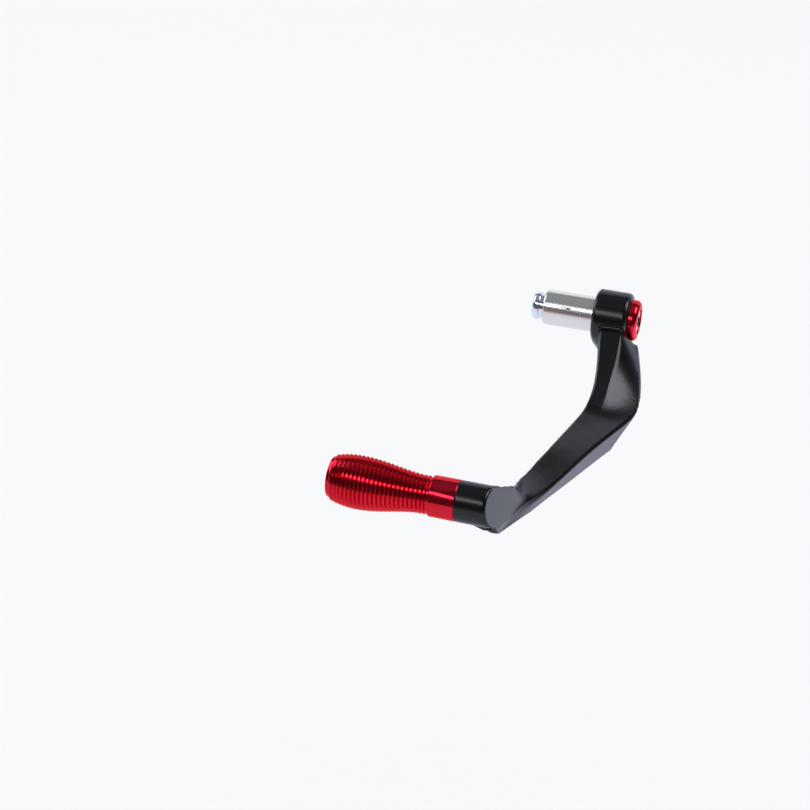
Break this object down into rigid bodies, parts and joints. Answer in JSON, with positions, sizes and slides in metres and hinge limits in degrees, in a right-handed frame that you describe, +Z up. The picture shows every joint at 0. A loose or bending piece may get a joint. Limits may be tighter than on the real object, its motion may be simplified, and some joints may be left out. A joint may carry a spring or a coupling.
{
  "type": "brake lever guard",
  "caption": "Handlebar-end brake lever guard: a bowed channel arm on a split expander plug, with a ribbed round grip across the lever tip.",
  "frame": {"origin": "centre of the boss's inner face, on the axis of the handlebar, where the end of the bar seats", "axes": "+X outward along the bar axis towards the cap, -Y forward from the bar to the grip, +Z up"},
  "size_m": [0.1017, 0.1784, 0.0413],
  "materials": {
    "black_anodised": "satin black anodised",
    "red_anodised": "bright red anodised, turned",
    "bare_aluminium": "bare turned",
    "plated_steel": "bright zinc plated",
    "dark_steel": "black oxide"
  },
  "bodies": {
    "guard": {"arm": "black_anodised", "tip_grip": "red_anodised", "tip_screw": "dark_steel", "end_cap": "red_anodised", "expander_sleeve": "bare_aluminium"},
    "bolt": {"expander_bolt": "plated_steel"},
    "wedge": {"wedge_nut": "plated_steel"}
  },
  "joints": [
    {"name": "bolt_turn", "type": "hinge", "parent": "guard", "child": "bolt", "pos_m": [0, 0, 0], "axis": [1, 0, 0], "range_deg": [0, 1440]},
    {"name": "wedge_draw", "type": "slide", "parent": "guard", "child": "wedge", "axis": [-1, 0, 0], "range_m": [0, 0.004]}
  ],
  "couplings": [
    {"joint": "bolt_turn", "follows": "wedge_draw", "rad_per_m": 6283}
  ]
}
